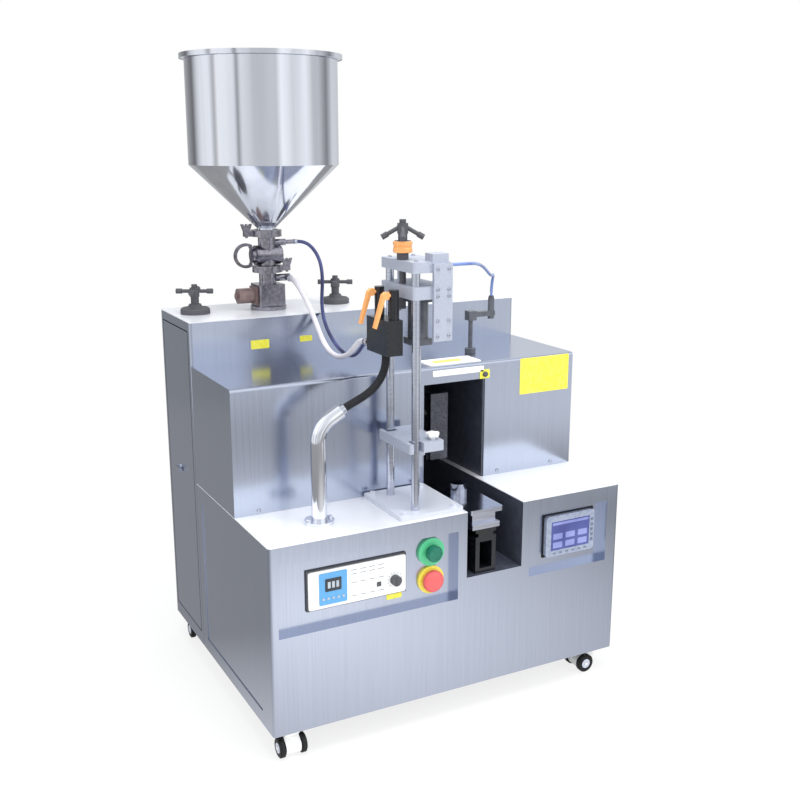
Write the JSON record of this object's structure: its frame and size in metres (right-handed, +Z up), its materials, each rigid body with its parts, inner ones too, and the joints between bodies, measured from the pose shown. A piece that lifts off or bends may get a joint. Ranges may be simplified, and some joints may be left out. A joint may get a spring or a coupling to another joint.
{
  "type": "tube filling machine",
  "caption": "Floor-standing stainless tube filling and sealing machine with product hopper, filling column, tube shuttle and control panel",
  "frame": {"origin": "on the floor under the middle of the whole machine", "axes": "X to the operator's right, Y from the front to the back, Z up"},
  "size_m": [1.012, 0.8865, 1.664],
  "materials": {
    "brushed_stainless": "fine vertical brushed grain",
    "polished_stainless": "mirror polish",
    "machined_aluminium": "machined, satin",
    "black_paint": "semi-gloss black",
    "white_plastic": "smooth gloss",
    "black_plastic": "fine moulded texture",
    "blue_plastic": "smooth gloss",
    "green_plastic": "smooth gloss",
    "yellow_plastic": "smooth gloss",
    "red_plastic": "smooth gloss",
    "grey_plastic": "fine moulded texture",
    "screen_glass": "flat gloss",
    "grey_paint": "semi-gloss grey",
    "actuator_paint": "semi-gloss",
    "orange_plastic": "smooth gloss",
    "tyre_rubber": "matt",
    "clear_tube": "smooth, translucent",
    "blue_tube": "smooth",
    "black_tube": "ribbed matt"
  },
  "bodies": {
    "machine": {"front_panel": "brushed_stainless", "side_panels": "brushed_stainless", "deck_plates": "brushed_stainless", "left_housing": "brushed_stainless", "right_housing": "brushed_stainless", "rear_cabinet": "brushed_stainless", "rear_top_cover": "brushed_stainless", "panel_trays": "brushed_stainless", "base_frame": "grey_paint", "sensor_post": "grey_paint", "hopper_body": "polished_stainless", "hopper_clamps": "polished_stainless", "valve_body": "polished_stainless", "metering_cylinder": "polished_stainless", "column_posts": "polished_stainless", "gooseneck_pipe": "polished_stainless", "column_base_plate": "machined_aluminium", "column_top_plate": "machined_aluminium", "slot_liner": "black_paint", "seal_bracket": "black_paint", "air_manifold": "black_paint", "shuttle_rail": "black_paint", "handwheel_flanges": "black_plastic", "controller_case": "white_plastic", "rear_caster_hoods": "white_plastic", "controller_display": "blue_plastic", "start_bezel": "green_plastic", "estop_collar": "yellow_plastic", "hmi_bezel": "grey_plastic", "hmi_screen": "screen_glass", "valve_actuator": "actuator_paint", "clear_hose": "clear_tube", "blue_hose": "blue_tube", "air_tube": "blue_tube", "black_hose": "black_tube"},
    "door": {"rear_door": "brushed_stainless"},
    "latch": {"latch_handle": "polished_stainless"},
    "knob": {"controller_knob": "black_plastic"},
    "start": {"start_button": "green_plastic"},
    "estop": {"estop_head": "red_plastic"},
    "lid": {"hopper_lid": "polished_stainless"},
    "plug": {"valve_plug": "polished_stainless"},
    "piston": {"metering_piston": "white_plastic"},
    "left_wheel": {"handwheel_left": "black_plastic"},
    "right_wheel": {"handwheel_right": "black_plastic"},
    "column_wheel": {"column_handwheel": "black_plastic"},
    "head": {"column_head": "machined_aluminium", "press_cylinder": "grey_paint"},
    "press": {"press_plate": "machined_aluminium"},
    "rear_lever": {"lever_rear": "orange_plastic"},
    "front_lever": {"lever_front": "orange_plastic"},
    "shuttle": {"tube_shuttle": "machined_aluminium", "tube_cup": "polished_stainless"},
    "jaw": {"seal_jaw": "machined_aluminium"},
    "swivel_left": {"hood_front_left": "white_plastic"},
    "swivel_right": {"hood_front_right": "white_plastic"},
    "rollers_front_left": {"wheels_front_left": "tyre_rubber"},
    "rollers_front_right": {"wheels_front_right": "tyre_rubber"},
    "rollers_rear_left": {"wheels_rear_left": "tyre_rubber"},
    "rollers_rear_right": {"wheels_rear_right": "tyre_rubber"}
  },
  "joints": [
    {"name": "door_hinge", "type": "hinge", "parent": "machine", "child": "door", "pos_m": [-0.4945, 0.118, 0.5], "axis": [0, 0, 1], "range_deg": [0, 100]},
    {"name": "latch_turn", "type": "hinge", "parent": "door", "child": "latch", "pos_m": [-0.5, 0.246, 0.543], "axis": [1, 0, 0], "range_deg": [0, 90]},
    {"name": "knob_turn", "type": "hinge", "parent": "machine", "child": "knob", "pos_m": [-0.171, -0.426, 0.395], "axis": [0, -1, 0], "range_deg": [0, 270]},
    {"name": "start_press", "type": "slide", "parent": "machine", "child": "start", "axis": [0, 1, 0], "range_m": [0, 0.005], "stiffness_N_per_m": 600, "springref_m": -0.004},
    {"name": "estop_press", "type": "slide", "parent": "machine", "child": "estop", "axis": [0, 1, 0], "range_m": [0, 0.005]},
    {"name": "lid_lift", "type": "slide", "parent": "machine", "child": "lid", "axis": [0, 0, 1], "range_m": [0, 0.12]},
    {"name": "plug_turn", "type": "hinge", "parent": "machine", "child": "plug", "pos_m": [-0.23, 0.225, 1.125], "axis": [1, 0, 0], "range_deg": [0, 90]},
    {"name": "piston_stroke", "type": "slide", "parent": "machine", "child": "piston", "axis": [0, 0, 1], "range_m": [0, 0.2]},
    {"name": "left_wheel_turn", "type": "hinge", "parent": "machine", "child": "left_wheel", "pos_m": [-0.438, 0.235, 1.02], "axis": [0, 0, 1], "continuous": true},
    {"name": "right_wheel_turn", "type": "hinge", "parent": "machine", "child": "right_wheel", "pos_m": [-0.02, 0.235, 1.02], "axis": [0, 0, 1], "continuous": true},
    {"name": "column_screw", "type": "hinge", "parent": "machine", "child": "column_wheel", "pos_m": [-0.098, -0.328, 1.2], "axis": [0, 0, 1], "range_deg": [-2160, 1440]},
    {"name": "column_lift", "type": "slide", "parent": "machine", "child": "head", "axis": [0, 0, 1], "range_m": [-0.03, 0.02]},
    {"name": "press_stroke", "type": "slide", "parent": "head", "child": "press", "axis": [0, 0, 1], "range_m": [-0.04, 0]},
    {"name": "rear_lever_turn", "type": "hinge", "parent": "machine", "child": "rear_lever", "pos_m": [-0.15, -0.284, 1.079], "axis": [1, 0, 0], "range_deg": [0, 90]},
    {"name": "front_lever_turn", "type": "hinge", "parent": "machine", "child": "front_lever", "pos_m": [-0.15, -0.36, 1.079], "axis": [-1, 0, 0], "range_deg": [0, 90]},
    {"name": "shuttle_slide", "type": "slide", "parent": "machine", "child": "shuttle", "axis": [0, 1, 0], "range_m": [0, 0.15]},
    {"name": "jaw_slide", "type": "slide", "parent": "machine", "child": "jaw", "axis": [0, 1, 0], "range_m": [0, 0.02]},
    {"name": "left_swivel", "type": "hinge", "parent": "machine", "child": "swivel_left", "pos_m": [-0.45, -0.395, 0.06], "axis": [0, 0, 1], "continuous": true},
    {"name": "right_swivel", "type": "hinge", "parent": "machine", "child": "swivel_right", "pos_m": [0.45, -0.395, 0.06], "axis": [0, 0, 1], "continuous": true},
    {"name": "front_left_roll", "type": "hinge", "parent": "swivel_left", "child": "rollers_front_left", "pos_m": [-0.45, -0.421, 0.025], "axis": [1, 0, 0], "continuous": true},
    {"name": "front_right_roll", "type": "hinge", "parent": "swivel_right", "child": "rollers_front_right", "pos_m": [0.424, -0.395, 0.025], "axis": [0, 1, 0], "continuous": true},
    {"name": "rear_left_roll", "type": "hinge", "parent": "machine", "child": "rollers_rear_left", "pos_m": [-0.45, 0.289, 0.025], "axis": [1, 0, 0], "continuous": true},
    {"name": "rear_right_roll", "type": "hinge", "parent": "machine", "child": "rollers_rear_right", "pos_m": [0.45, 0.289, 0.025], "axis": [1, 0, 0], "continuous": true}
  ],
  "couplings": [
    {"joint": "column_screw", "follows": "column_lift", "rad_per_m": 1256.6}
  ]
}
